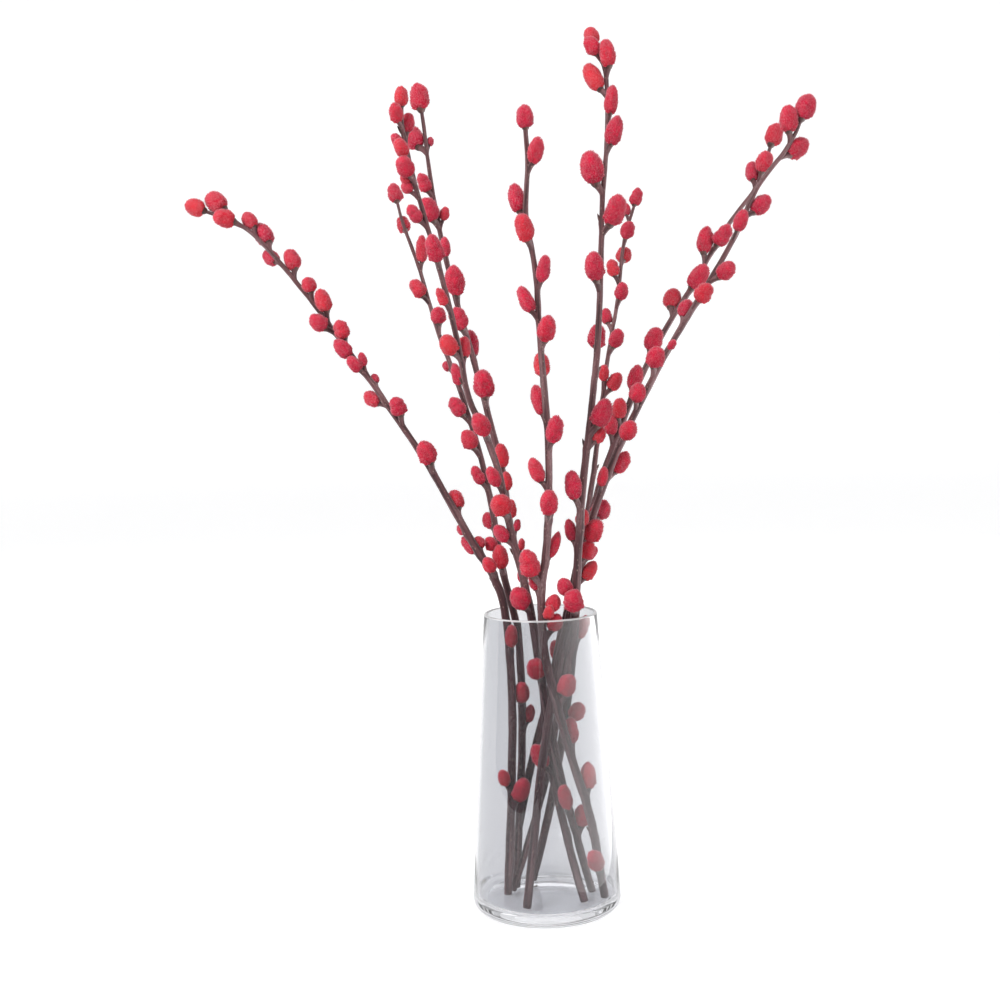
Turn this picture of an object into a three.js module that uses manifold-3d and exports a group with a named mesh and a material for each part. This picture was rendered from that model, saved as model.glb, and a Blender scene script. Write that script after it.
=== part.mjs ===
// Willow stems with red catkins, standing in a tapered clear glass vase.
// Millimetres, +Z up. The origin is the centre of the vase's flat underside, and the stems' feet
// rest on its thick floor. Each stem leans on the rim and spreads in its own direction.
import * as THREE from 'three';
import { mergeVertices } from 'three/addons/utils/BufferGeometryUtils.js';
import Module from 'manifold-3d';

const wasm = await Module();
wasm.setup();

// Vase
const VASE_HEIGHT = 240;
const BASE_RADIUS = 60; // at the widest, just above the rounded heel
const RIM_RADIUS = 45.5;
const WALL = 2.5;
const FLOOR = 9; // thickness of the glass floor
const HEEL = 8; // radius of the outside lower corner
const VASE_SIDES = 40;

// Stems
const STEM_SIDES = 6;
const STEM_STEPS = 28;
const FOOT_GAP = 0.3; // between a cut foot and the glass floor
const EVEN = 0.35; // the share of a stem's length, from its foot, before it starts to taper

// Catkins. A catkin leans out from its stem by LEAN, towards the tip.
const LEAN = THREE.MathUtils.degToRad(22);
const CATKIN_SIDES = 6;
const CATKIN_GAP = 0.3; // between a separate catkin and its stem
const CATKIN_SINK = 2; // how far a joined catkin sits into its stem
const SEPARATE = 4; // side catkins nearest each tip that are nodes of their own

// Each stem's route runs from its foot to its tip as [x, y, z]. The diameters are at those ends.
// A side catkin is [height, bearing, length, width]. The bearing is in degrees seen from above,
// 0 towards +X and 90 towards +Y. The tip catkin is [length, width].
const STEMS = [
  {
    diameters: [6.8, 3],
    route: [
      [-32, -4], [-25, 2, 136], [-26, 4, 217], [-32, 7, 258], [-54, 12, 298], [-84, 20, 353],
      [-111, 27, 396], [-144, 34, 444], [-180, 41, 495], [-215, 46, 539], [-238, 49, 560],
      [-266, 51, 572],
    ],
    tip: [18, 14],
    catkins: [
      [570, 0, 20, 16], [565, 255, 18, 15], [558, 15, 16, 12], [549, 45, 22, 15],
      [536, 120, 16, 12], [525, 15, 18, 14], [504, 330, 13, 12], [490, 330, 20, 13],
      [480, 225, 17, 13], [467, 315, 16, 13], [456, 255, 18, 12], [443, 255, 16, 10],
      [443, 330, 12, 7], [429, 45, 9, 7], [419, 150, 16, 12], [403, 315, 16, 14],
      [366, 300, 20, 15], [329, 60, 18, 13], [308, 120, 10, 7], [296, 120, 18, 10],
      [294, 60, 11, 10], [277, 285, 14, 10], [220, 285, 19, 10], [106, 225, 14, 10],
      [97, 315, 22, 13],
    ],
  },
  {
    diameters: [6.4, 2.6],
    route: [
      [-25, 12], [-18, 16, 115], [-18, 20, 214], [-29, 29, 271], [-40, 42, 341],
      [-60, 60, 416], [-79, 76, 471], [-95, 90, 528], [-108, 101, 567], [-112, 106, 583],
    ],
    tip: [18, 13],
    catkins: [
      [567, 90, 17, 12], [537, 330, 24, 10], [507, 225, 17, 12], [480, 300, 15, 13],
      [443, 120, 10, 8], [430, 285, 20, 9], [406, 225, 18, 13], [378, 240, 18, 13],
      [349, 225, 17, 10], [313, 120, 15, 11], [293, 225, 13, 10], [281, 270, 20, 13],
      [173, 270, 19, 12], [152, 45, 16, 9],
    ],
  },
  {
    diameters: [6.4, 3],
    route: [
      [37, -2], [17, -8, 88], [2, -12, 171], [-9, -17, 248], [-16, -20, 283], [-25, -26, 323],
      [-31, -32, 357], [-41, -38, 388], [-51, -43, 411], [-58, -50, 449], [-70, -60, 508],
      [-85, -68, 566], [-94, -75, 612], [-94, -78, 624],
    ],
    tip: [15, 10],
    catkins: [
      [621, 240, 15, 10], [613, 60, 15, 10], [603, 165, 11, 8], [597, 240, 15, 10],
      [584, 240, 16, 13], [576, 180, 9, 8], [570, 180, 10, 9], [551, 210, 15, 10],
      [524, 270, 22, 13], [490, 240, 15, 8], [455, 225, 17, 13], [449, 60, 17, 10],
      [394, 270, 22, 13], [354, 240, 19, 10], [332, 255, 18, 16], [309, 210, 16, 11],
      [257, 240, 19, 16], [200, 255, 17, 15], [94, 270, 25, 11], [70, 30, 19, 13],
    ],
  },
  {
    diameters: [6.6, 3],
    route: [
      [29, -24], [16, -15, 61], [5, -1, 119], [-1, 4, 192], [-11, 4, 257], [-22, 7, 306],
      [-28, 10, 354], [-47, 16, 437], [-68, 22, 523], [-78, 26, 582], [-85, 30, 644],
    ],
    tip: [22, 16],
    catkins: [
      [625, 150, 20, 16], [620, 45, 8, 6], [586, 225, 16, 11], [564, 240, 20, 15],
      [560, 345, 11, 8], [533, 285, 16, 8], [505, 285, 24, 15], [476, 255, 19, 15],
      [457, 75, 24, 11], [422, 285, 23, 17], [365, 285, 21, 11], [345, 285, 16, 9],
      [323, 285, 16, 10], [309, 330, 10, 6], [293, 330, 10, 6], [269, 270, 13, 8],
      [124, 225, 22, 13],
    ],
  },
  {
    diameters: [6.8, 3.4],
    route: [
      [46, -15], [35, -24, 76], [17, -30, 146], [3, -33, 207], [0, -35, 255], [6, -43, 310],
      [7, -58, 387], [3, -72, 450], [0, -84, 504], [-6, -92, 543], [-4, -98, 577],
      [-5, -104, 601],
    ],
    tip: [17, 12],
    catkins: [
      [587, 315, 20, 11], [554, 135, 22, 12], [535, 255, 22, 13], [505, 315, 21, 10],
      [484, 195, 21, 11], [463, 300, 22, 13], [434, 90, 19, 12], [408, 120, 23, 11],
      [389, 300, 23, 13], [357, 195, 21, 11], [334, 270, 23, 13], [297, 45, 21, 8],
      [283, 195, 23, 16], [268, 120, 17, 11], [252, 0, 14, 11], [246, 315, 12, 8],
      [236, 0, 15, 12], [184, 0, 18, 14], [146, 60, 21, 11], [108, 45, 21, 12],
      [47, 255, 20, 13],
    ],
  },
  {
    diameters: [6.8, 3.2],
    route: [
      [-11, 30], [6, 13, 82], [20, -8, 169], [27, -26, 243], [30, -33, 294], [34, -30, 339],
      [43, -16, 398], [50, 0, 448], [55, 10, 516], [59, 18, 576], [64, 24, 628], [63, 30, 673],
      [56, 34, 694],
    ],
    tip: [15, 12],
    catkins: [
      [691, 240, 16, 12], [681, 300, 22, 13], [668, 180, 25, 14], [645, 285, 23, 11],
      [621, 300, 23, 13], [591, 210, 27, 18], [558, 330, 26, 16], [512, 240, 24, 15],
      [461, 90, 22, 14], [397, 315, 24, 15], [383, 15, 14, 10], [341, 225, 23, 13],
      [318, 75, 14, 11], [307, 135, 19, 9], [264, 195, 15, 12], [256, 255, 19, 16],
      [228, 45, 20, 9], [164, 315, 16, 13],
    ],
  },
  {
    diameters: [5.8, 2.6],
    route: [
      [-28, 4], [-15, 10, 46], [5, 20, 109], [16, 25, 171], [28, 27, 235], [44, 38, 326],
      [52, 50, 371], [62, 66, 434], [67, 72, 459], [74, 78, 493], [81, 88, 540], [91, 94, 573],
    ],
    tip: [16, 11],
    catkins: [
      [569, 165, 12, 8], [550, 270, 15, 12], [534, 75, 15, 13], [518, 210, 15, 11],
      [498, 285, 16, 11], [478, 165, 14, 10], [459, 300, 17, 12], [429, 255, 14, 9],
      [424, 345, 17, 12], [201, 180, 16, 10],
    ],
  },
  {
    diameters: [6.8, 3],
    route: [
      [-31, 32], [-13, 25, 96], [7, 17, 173], [22, 12, 237], [34, 16, 283], [55, 26, 347],
      [81, 40, 410], [107, 52, 459], [133, 62, 498], [170, 76, 555], [195, 84, 587],
      [208, 92, 620],
    ],
    tip: [21, 15],
    catkins: [
      [602, 255, 19, 14], [596, 165, 18, 12], [541, 270, 20, 14], [534, 195, 23, 14],
      [506, 270, 24, 15], [488, 150, 19, 15], [453, 240, 20, 15], [422, 240, 22, 12],
      [397, 225, 18, 12], [384, 210, 18, 11],
    ],
  },
  {
    diameters: [6.8, 3],
    route: [
      [-17, -34], [-6, -28, 94], [7, -22, 173], [23, -9, 241], [35, -8, 290], [54, -14, 346],
      [79, -24, 402], [99, -32, 440], [124, -38, 481], [152, -42, 527], [170, -46, 565],
      [190, -48, 591], [198, -49, 603], [202, -50, 613],
    ],
    tip: [20, 15],
    catkins: [
      [611, 195, 20, 14], [598, 30, 19, 14], [556, 15, 18, 13], [540, 255, 18, 10],
      [507, 315, 16, 13], [488, 270, 16, 14], [474, 120, 15, 12], [450, 270, 9, 6],
      [438, 225, 17, 14], [412, 225, 16, 12], [386, 270, 17, 13], [360, 45, 20, 13],
      [348, 240, 18, 8], [322, 60, 16, 15], [308, 285, 21, 14], [292, 285, 16, 12],
      [289, 0, 13, 7], [275, 15, 17, 11],
    ],
  },
];

const glass = new THREE.MeshStandardMaterial({
  color: 0xdfe3e6, roughness: 0.04, metalness: 0, transparent: true, opacity: 0.3,
});
const bark = new THREE.MeshStandardMaterial({ color: 0x6d5250, roughness: 0.8, metalness: 0 });
const down = new THREE.MeshStandardMaterial({ color: 0xc9404c, roughness: 0.95, metalness: 0 });

const group = new THREE.Group();
group.name = 'willow_stems';

function addNode(name, geometry, material) {
  geometry.computeVertexNormals();
  const mesh = new THREE.Mesh(geometry, material);
  mesh.name = name;
  group.add(mesh);
}

function toSolid(geometry) {
  const bare = geometry.index ? geometry : geometry.clone();
  bare.deleteAttribute('normal');
  bare.deleteAttribute('uv');
  const merged = mergeVertices(bare, 1e-4);
  return new wasm.Manifold(new wasm.Mesh({
    numProp: 3,
    vertProperties: Float32Array.from(merged.attributes.position.array),
    triVerts: Uint32Array.from(merged.index.array),
  }));
}

function toGeometry(solid) {
  const mesh = solid.getMesh();
  const geometry = new THREE.BufferGeometry();
  geometry.setAttribute('position', new THREE.BufferAttribute(mesh.vertProperties, 3));
  geometry.setIndex(new THREE.BufferAttribute(mesh.triVerts, 1));
  return geometry;
}

// The wall is one closed profile spun about Z: underside, heel, outside, lip, inside and floor.
function vaseGeometry() {
  const outline = new THREE.Path();
  outline.moveTo(0, 0);
  outline.lineTo(BASE_RADIUS - HEEL, 0);
  outline.absarc(BASE_RADIUS - HEEL, HEEL, HEEL, -Math.PI / 2, 0, false);
  outline.lineTo(RIM_RADIUS, VASE_HEIGHT - WALL / 2);
  outline.absarc(RIM_RADIUS - WALL / 2, VASE_HEIGHT - WALL / 2, WALL / 2, 0, Math.PI, false);
  outline.lineTo(BASE_RADIUS - WALL, FLOOR + 4);
  outline.lineTo(BASE_RADIUS - WALL - 4, FLOOR);
  outline.lineTo(0, FLOOR);
  return new THREE.LatheGeometry(outline.getPoints(4), VASE_SIDES);
}

class StemCurve extends THREE.CatmullRomCurve3 {
  constructor(route) {
    const points = route.map(([x, y, z = FLOOR + FOOT_GAP]) => new THREE.Vector3(x, y, z));
    super(points, false, 'centripetal');
  }

  // The share of the stem's length at which it reaches a height. Every stem climbs all the way.
  shareAt(height) {
    let low = 0;
    let high = 1;
    for (let i = 0; i < 24; i += 1) {
      const middle = (low + high) / 2;
      if (this.getPointAt(middle).z < height) low = middle;
      else high = middle;
    }
    return low;
  }
}

function radiusAt([foot, tip], share) {
  const taper = Math.max(0, (share - EVEN) / (1 - EVEN));
  return THREE.MathUtils.lerp(foot, tip, taper) / 2;
}

// A round bar swept along the route, then drawn in towards its middle line to taper it.
function stemGeometry(stem, curve) {
  const section = new THREE.Shape();
  const widest = radiusAt(stem.diameters, 0);
  for (let side = 0; side < STEM_SIDES; side += 1) {
    const angle = (2 * Math.PI * side) / STEM_SIDES;
    section[side ? 'lineTo' : 'moveTo'](widest * Math.cos(angle), widest * Math.sin(angle));
  }
  const bar = new THREE.ExtrudeGeometry(section, { steps: STEM_STEPS, extrudePath: curve });
  const middles = curve.getSpacedPoints(STEM_STEPS);
  const position = bar.attributes.position;
  const vertex = new THREE.Vector3();
  for (let i = 0; i < position.count; i += 1) {
    vertex.fromBufferAttribute(position, i);
    const distances = middles.map((middle) => middle.distanceTo(vertex));
    const nearest = distances.indexOf(Math.min(...distances));
    const scale = radiusAt(stem.diameters, nearest / STEM_STEPS) / widest;
    vertex.sub(middles[nearest]).multiplyScalar(scale).add(middles[nearest]);
    if (nearest === 0) vertex.z = FLOOR + FOOT_GAP;
    position.setXYZ(i, vertex.x, vertex.y, vertex.z);
  }
  return bar;
}

// An egg shape along +Z, one long and one wide, fullest a little below its middle.
function catkinGeometry(length, width) {
  const profile = [[0, -0.5], [0.4, -0.32], [0.5, -0.04], [0.38, 0.3], [0, 0.5]];
  const points = profile.map(([r, z]) => new THREE.Vector2(r * width, z * length));
  // LatheGeometry spins about Y, so the egg is stood up along Z afterwards.
  return new THREE.LatheGeometry(points, CATKIN_SIDES).rotateX(Math.PI / 2);
}

function pointAlong(geometry, direction, centre) {
  const turn = new THREE.Quaternion().setFromUnitVectors(new THREE.Vector3(0, 0, 1), direction);
  return geometry.applyQuaternion(turn).translate(centre.x, centre.y, centre.z);
}

function sideCatkin(stem, curve, [height, bearing, length, width], gap) {
  const share = curve.shareAt(height);
  const along = curve.getTangentAt(share);
  const angle = THREE.MathUtils.degToRad(bearing);
  const outward = new THREE.Vector3(Math.cos(angle), Math.sin(angle), 0);
  outward.addScaledVector(along, -outward.dot(along)).normalize();
  const reach = Math.hypot((length / 2) * Math.sin(LEAN), (width / 2) * Math.cos(LEAN));
  const offset = radiusAt(stem.diameters, share) + gap + reach;
  const centre = curve.getPointAt(share).addScaledVector(outward, offset);
  const direction = along.multiplyScalar(Math.cos(LEAN)).addScaledVector(outward, Math.sin(LEAN));
  return pointAlong(catkinGeometry(length, width), direction, centre);
}

function tipCatkin(stem, curve) {
  const [length, width] = stem.tip;
  const along = curve.getTangentAt(1);
  const centre = curve.getPointAt(1).addScaledVector(along, length / 2 + CATKIN_GAP);
  return pointAlong(catkinGeometry(length, width), along, centre);
}

addNode('vase', vaseGeometry().rotateX(Math.PI / 2), glass);

STEMS.forEach((stem, index) => {
  const curve = new StemCurve(stem.route);
  let solid = toSolid(stemGeometry(stem, curve));
  for (const catkin of stem.catkins.slice(SEPARATE)) {
    solid = solid.add(toSolid(sideCatkin(stem, curve, catkin, -CATKIN_SINK)));
  }
  addNode(`stem_${index + 1}`, toGeometry(solid), bark);

  addNode(`catkin_${index + 1}_tip`, tipCatkin(stem, curve), down);
  stem.catkins.slice(0, SEPARATE).forEach((catkin, place) => {
    const geometry = sideCatkin(stem, curve, catkin, CATKIN_GAP);
    addNode(`catkin_${index + 1}_${place + 1}`, geometry, down);
  });
});

export default group;
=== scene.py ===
import math
import random

import bmesh
import bpy
from bpy.props import (
    BoolProperty,
    FloatProperty,
    FloatVectorProperty,
    IntProperty,
    PointerProperty,
)
from mathutils import Matrix, Quaternion, Vector, noise


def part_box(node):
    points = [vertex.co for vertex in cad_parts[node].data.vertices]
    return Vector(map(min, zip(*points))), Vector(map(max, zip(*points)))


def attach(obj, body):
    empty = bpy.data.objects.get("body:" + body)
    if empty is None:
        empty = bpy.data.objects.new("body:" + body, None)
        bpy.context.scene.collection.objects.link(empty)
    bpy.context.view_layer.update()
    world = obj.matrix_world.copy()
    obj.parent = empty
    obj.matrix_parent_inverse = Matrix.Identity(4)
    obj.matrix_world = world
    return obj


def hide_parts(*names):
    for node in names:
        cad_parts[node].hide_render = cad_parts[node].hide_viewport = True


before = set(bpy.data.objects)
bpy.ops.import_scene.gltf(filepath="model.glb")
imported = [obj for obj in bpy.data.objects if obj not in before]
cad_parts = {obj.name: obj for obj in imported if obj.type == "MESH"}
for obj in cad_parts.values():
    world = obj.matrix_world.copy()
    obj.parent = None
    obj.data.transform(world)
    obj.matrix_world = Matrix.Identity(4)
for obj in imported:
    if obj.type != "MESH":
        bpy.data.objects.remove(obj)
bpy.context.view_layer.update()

bl_info = {
    "name": "Willow Stems in a Glass Vase",
    "version": (1, 0, 0),
    "blender": (4, 5, 0),
    "location": "3D View > Sidebar > Willow",
    "description": "Red pussy willow stems standing in a tapered clear glass vase",
    "category": "Add Mesh",
}

MM = 0.001
VASE_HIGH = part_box("vase")[1]
FLOOR_Z = 9 * MM  # top of the vase's thick floor
UP = Vector((0, 0, 1))
GLASS_IOR = 1.47

# Each stem's route runs from its foot to its tip, in millimetres. A side catkin is its height,
# its bearing in degrees seen from above, its length and its width. The tip catkin is length, width.
STEMS = [
    {
        "diameters": (6.8, 3),
        "route": [
            (-32, -4, 9.3), (-25, 2, 136), (-26, 4, 217), (-32, 7, 258), (-54, 12, 298),
            (-84, 20, 353), (-111, 27, 396), (-144, 34, 444), (-180, 41, 495), (-215, 46, 539),
            (-238, 49, 560), (-266, 51, 572),
        ],
        "tip": (18, 14),
        "catkins": [
            (570, 0, 20, 16), (565, 255, 18, 15), (558, 15, 16, 12), (549, 45, 22, 15),
            (536, 120, 16, 12), (525, 15, 18, 14), (504, 330, 13, 12), (490, 330, 20, 13),
            (480, 225, 17, 13), (467, 315, 16, 13), (456, 255, 18, 12), (443, 255, 16, 10),
            (443, 330, 12, 7), (429, 45, 9, 7), (419, 150, 16, 12), (403, 315, 16, 14),
            (366, 300, 20, 15), (329, 60, 18, 13), (308, 120, 10, 7), (296, 120, 18, 10),
            (294, 60, 11, 10), (277, 285, 14, 10), (220, 285, 19, 10), (106, 225, 14, 10),
            (97, 315, 22, 13),
        ],
    },
    {
        "diameters": (6.4, 2.6),
        "route": [
            (-25, 12, 9.3), (-18, 16, 115), (-18, 20, 214), (-29, 29, 271), (-40, 42, 341),
            (-60, 60, 416), (-79, 76, 471), (-95, 90, 528), (-108, 101, 567), (-112, 106, 583),
        ],
        "tip": (18, 13),
        "catkins": [
            (567, 90, 17, 12), (537, 330, 24, 10), (507, 225, 17, 12), (480, 300, 15, 13),
            (443, 120, 10, 8), (430, 285, 20, 9), (406, 225, 18, 13), (378, 240, 18, 13),
            (349, 225, 17, 10), (313, 120, 15, 11), (293, 225, 13, 10), (281, 270, 20, 13),
            (173, 270, 19, 12), (152, 45, 16, 9),
        ],
    },
    {
        "diameters": (6.4, 3),
        "route": [
            (37, -2, 9.3), (17, -8, 88), (2, -12, 171), (-9, -17, 248), (-16, -20, 283),
            (-25, -26, 323), (-31, -32, 357), (-41, -38, 388), (-51, -43, 411),
            (-58, -50, 449), (-70, -60, 508), (-85, -68, 566), (-94, -75, 612),
            (-94, -78, 624),
        ],
        "tip": (15, 10),
        "catkins": [
            (621, 240, 15, 10), (613, 60, 15, 10), (603, 165, 11, 8), (597, 240, 15, 10),
            (584, 240, 16, 13), (576, 180, 9, 8), (570, 180, 10, 9), (551, 210, 15, 10),
            (524, 270, 22, 13), (490, 240, 15, 8), (455, 225, 17, 13), (449, 60, 17, 10),
            (394, 270, 22, 13), (354, 240, 19, 10), (332, 255, 18, 16), (309, 210, 16, 11),
            (257, 240, 19, 16), (200, 255, 17, 15), (94, 270, 25, 11), (70, 30, 19, 13),
        ],
    },
    {
        "diameters": (6.6, 3),
        "route": [
            (29, -24, 9.3), (16, -15, 61), (5, -1, 119), (-1, 4, 192), (-11, 4, 257),
            (-22, 7, 306), (-28, 10, 354), (-47, 16, 437), (-68, 22, 523), (-78, 26, 582),
            (-85, 30, 644),
        ],
        "tip": (22, 16),
        "catkins": [
            (625, 150, 20, 16), (620, 45, 8, 6), (586, 225, 16, 11), (564, 240, 20, 15),
            (560, 345, 11, 8), (533, 285, 16, 8), (505, 285, 24, 15), (476, 255, 19, 15),
            (457, 75, 24, 11), (422, 285, 23, 17), (365, 285, 21, 11), (345, 285, 16, 9),
            (323, 285, 16, 10), (309, 330, 10, 6), (293, 330, 10, 6), (269, 270, 13, 8),
            (124, 225, 22, 13),
        ],
    },
    {
        "diameters": (6.8, 3.4),
        "route": [
            (46, -15, 9.3), (35, -24, 76), (17, -30, 146), (3, -33, 207), (0, -35, 255),
            (6, -43, 310), (7, -58, 387), (3, -72, 450), (0, -84, 504), (-6, -92, 543),
            (-4, -98, 577), (-5, -104, 601),
        ],
        "tip": (17, 12),
        "catkins": [
            (587, 315, 20, 11), (554, 135, 22, 12), (535, 255, 22, 13), (505, 315, 21, 10),
            (484, 195, 21, 11), (463, 300, 22, 13), (434, 90, 19, 12), (408, 120, 23, 11),
            (389, 300, 23, 13), (357, 195, 21, 11), (334, 270, 23, 13), (297, 45, 21, 8),
            (283, 195, 23, 16), (268, 120, 17, 11), (252, 0, 14, 11), (246, 315, 12, 8),
            (236, 0, 15, 12), (184, 0, 18, 14), (146, 60, 21, 11), (108, 45, 21, 12),
            (47, 255, 20, 13),
        ],
    },
    {
        "diameters": (6.8, 3.2),
        "route": [
            (-11, 30, 9.3), (6, 13, 82), (20, -8, 169), (27, -26, 243), (30, -33, 294),
            (34, -30, 339), (43, -16, 398), (50, 0, 448), (55, 10, 516), (59, 18, 576),
            (64, 24, 628), (63, 30, 673), (56, 34, 694),
        ],
        "tip": (15, 12),
        "catkins": [
            (691, 240, 16, 12), (681, 300, 22, 13), (668, 180, 25, 14), (645, 285, 23, 11),
            (621, 300, 23, 13), (591, 210, 27, 18), (558, 330, 26, 16), (512, 240, 24, 15),
            (461, 90, 22, 14), (397, 315, 24, 15), (383, 15, 14, 10), (341, 225, 23, 13),
            (318, 75, 14, 11), (307, 135, 19, 9), (264, 195, 15, 12), (256, 255, 19, 16),
            (228, 45, 20, 9), (164, 315, 16, 13),
        ],
    },
    {
        "diameters": (5.8, 2.6),
        "route": [
            (-28, 4, 9.3), (-15, 10, 46), (5, 20, 109), (16, 25, 171), (28, 27, 235),
            (44, 38, 326), (52, 50, 371), (62, 66, 434), (67, 72, 459), (74, 78, 493),
            (81, 88, 540), (91, 94, 573),
        ],
        "tip": (16, 11),
        "catkins": [
            (569, 165, 12, 8), (550, 270, 15, 12), (534, 75, 15, 13), (518, 210, 15, 11),
            (498, 285, 16, 11), (478, 165, 14, 10), (459, 300, 17, 12), (429, 255, 14, 9),
            (424, 345, 17, 12), (201, 180, 16, 10),
        ],
    },
    {
        "diameters": (6.8, 3),
        "route": [
            (-31, 32, 9.3), (-13, 25, 96), (7, 17, 173), (22, 12, 237), (34, 16, 283),
            (55, 26, 347), (81, 40, 410), (107, 52, 459), (133, 62, 498), (170, 76, 555),
            (195, 84, 587), (208, 92, 620),
        ],
        "tip": (21, 15),
        "catkins": [
            (602, 255, 19, 14), (596, 165, 18, 12), (541, 270, 20, 14), (534, 195, 23, 14),
            (506, 270, 24, 15), (488, 150, 19, 15), (453, 240, 20, 15), (422, 240, 22, 12),
            (397, 225, 18, 12), (384, 210, 18, 11),
        ],
    },
    {
        "diameters": (6.8, 3),
        "route": [
            (-17, -34, 9.3), (-6, -28, 94), (7, -22, 173), (23, -9, 241), (35, -8, 290),
            (54, -14, 346), (79, -24, 402), (99, -32, 440), (124, -38, 481), (152, -42, 527),
            (170, -46, 565), (190, -48, 591), (198, -49, 603), (202, -50, 613),
        ],
        "tip": (20, 15),
        "catkins": [
            (611, 195, 20, 14), (598, 30, 19, 14), (556, 15, 18, 13), (540, 255, 18, 10),
            (507, 315, 16, 13), (488, 270, 16, 14), (474, 120, 15, 12), (450, 270, 9, 6),
            (438, 225, 17, 14), (412, 225, 16, 12), (386, 270, 17, 13), (360, 45, 20, 13),
            (348, 240, 18, 8), (322, 60, 16, 15), (308, 285, 21, 14), (292, 285, 16, 12),
            (289, 0, 13, 7), (275, 15, 17, 11),
        ],
    },
]
EVEN = 0.35  # the share of a stem's length, from its foot, before it starts to taper
SEPARATE = 4  # side catkins nearest each tip that are pieces of their own, as CAD nodes are

# Short pointed buds that never opened: stem number, height and bearing.
SPUR_BUDS = [
    (1, 263, 160), (1, 271, 20), (1, 352, 110), (2, 452, 80), (3, 520, 300), (3, 423, 200),
    (3, 330, 60), (4, 286, 200), (4, 60, 30), (5, 318, 350), (5, 162, 200), (5, 66, 200),
    (6, 372, 170), (6, 430, 20), (6, 550, 190), (6, 205, 200), (7, 350, 20), (7, 272, 200),
    (8, 330, 330), (8, 560, 330), (9, 262, 200), (9, 470, 60),
    (3, 606, 195),
]
BURY = 1.4 * MM  # how far a catkin's foot sits inside its cup of scales


class VaseSettings(bpy.types.PropertyGroup):
    rim_radius: FloatProperty(
        name="Rim Radius", description="Outside radius at the rim", default=45.5 * MM,
        unit="LENGTH",
    )
    wall: FloatProperty(
        name="Wall", description="Thickness of the side wall", default=2.5 * MM, unit="LENGTH"
    )
    heel: FloatProperty(
        name="Heel Radius", description="Rounding of the outside lower corner",
        default=8 * MM, unit="LENGTH",
    )
    sides: IntProperty(name="Sides", description="Steps around the vase", default=128, min=24)
    tint: FloatVectorProperty(
        name="Glass Tint", description="Colour that each pass through the glass keeps",
        subtype="COLOR", size=3, default=(0.68, 0.685, 0.705), min=0, max=1,
    )


class BarkSettings(bpy.types.PropertyGroup):
    sides: IntProperty(name="Sides", description="Steps around a stem", default=14, min=6)
    ring_step: FloatProperty(
        name="Ring Step", description="Length of stem between rings", default=2.6 * MM,
        unit="LENGTH",
    )
    knuckle: FloatProperty(
        name="Knuckle", description="Swelling where a catkin sits, as a share of the radius",
        default=0.1, subtype="FACTOR", min=0, max=1,
    )
    young: FloatVectorProperty(
        name="Young Bark", description="Bark near the tips", subtype="COLOR", size=3,
        default=(0.135, 0.052, 0.056), min=0, max=1,
    )
    old: FloatVectorProperty(
        name="Old Bark", description="Bark near the feet", subtype="COLOR", size=3,
        default=(0.075, 0.021, 0.027), min=0, max=1,
    )
    bloom: FloatVectorProperty(
        name="Bloom", description="Pale dusty bloom in streaks on the bark", subtype="COLOR",
        size=3, default=(0.36, 0.22, 0.225), min=0, max=1,
    )
    cut_wood: FloatVectorProperty(
        name="Cut Wood", description="Pale wood at the cut feet", subtype="COLOR", size=3,
        default=(0.62, 0.47, 0.3), min=0, max=1,
    )


class CatkinSettings(bpy.types.PropertyGroup):
    lean: FloatProperty(
        name="Lean", description="Angle between a catkin and its stem",
        default=math.radians(22), subtype="ANGLE",
    )
    gap: FloatProperty(
        name="Gap", description="Space between a catkin's side and its stem",
        default=0.3 * MM, unit="LENGTH",
    )
    hair: FloatProperty(
        name="Hair Length", description="Length of the silky hairs on a full-sized catkin",
        default=1.65 * MM, unit="LENGTH",
    )
    # Rose and wine are a lit and a shaded copy of the dye. The down runs from wine at a catkin's foot
    # to rose higher up, which is painted shade. It also varies at random in clumps.
    rose: FloatVectorProperty(
        name="Rose", description="Dyed down in its fuller clumps, and painted lighter higher on a catkin", subtype="COLOR", size=3,
        default=(0.64, 0.022, 0.062), min=0, max=1,
    )
    wine: FloatVectorProperty(
        name="Wine", description="Deeper dye between its tufts, and painted shade low on a catkin",
        subtype="COLOR", size=3, default=(0.32, 0.006, 0.03), min=0, max=1,
    )
    # Painted highlight: the pale hair ends stand in for light shining through backlit hairs at the
    # catkins' edges.
    painted_rim_light: FloatVectorProperty(
        name="Painted Rim Light", description="Pale ends of the hairs, painted as rim light on backlit down", subtype="COLOR", size=3,
        default=(0.98, 0.34, 0.38), min=0, max=1,
    )


class StageSettings(bpy.types.PropertyGroup):
    floor: FloatVectorProperty(
        name="Floor", description="Colour of the floor and backdrop", subtype="COLOR", size=3,
        default=(0.79, 0.79, 0.795), min=0, max=1,
    )
    camera: FloatVectorProperty(
        name="Camera", description="Where the camera stands", subtype="TRANSLATION", size=3,
        default=(-30 * MM, -1088 * MM, 409 * MM),
    )
    look_down: FloatProperty(
        name="Look Down", description="How far the camera tips down",
        default=math.radians(4.1), subtype="ANGLE",
    )
    roll: FloatProperty(
        name="Roll", description="How far the camera rolls clockwise",
        default=math.radians(1.5), subtype="ANGLE",
    )
    lens: FloatProperty(name="Lens", description="Focal length in mm", default=49.14)
    fill: BoolProperty(
        name="Fill Lights", description="Adds weak lights from the right and from behind",
        default=True,
    )


def settings():
    return bpy.context.scene.willow


# Routes and solid shapes


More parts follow.
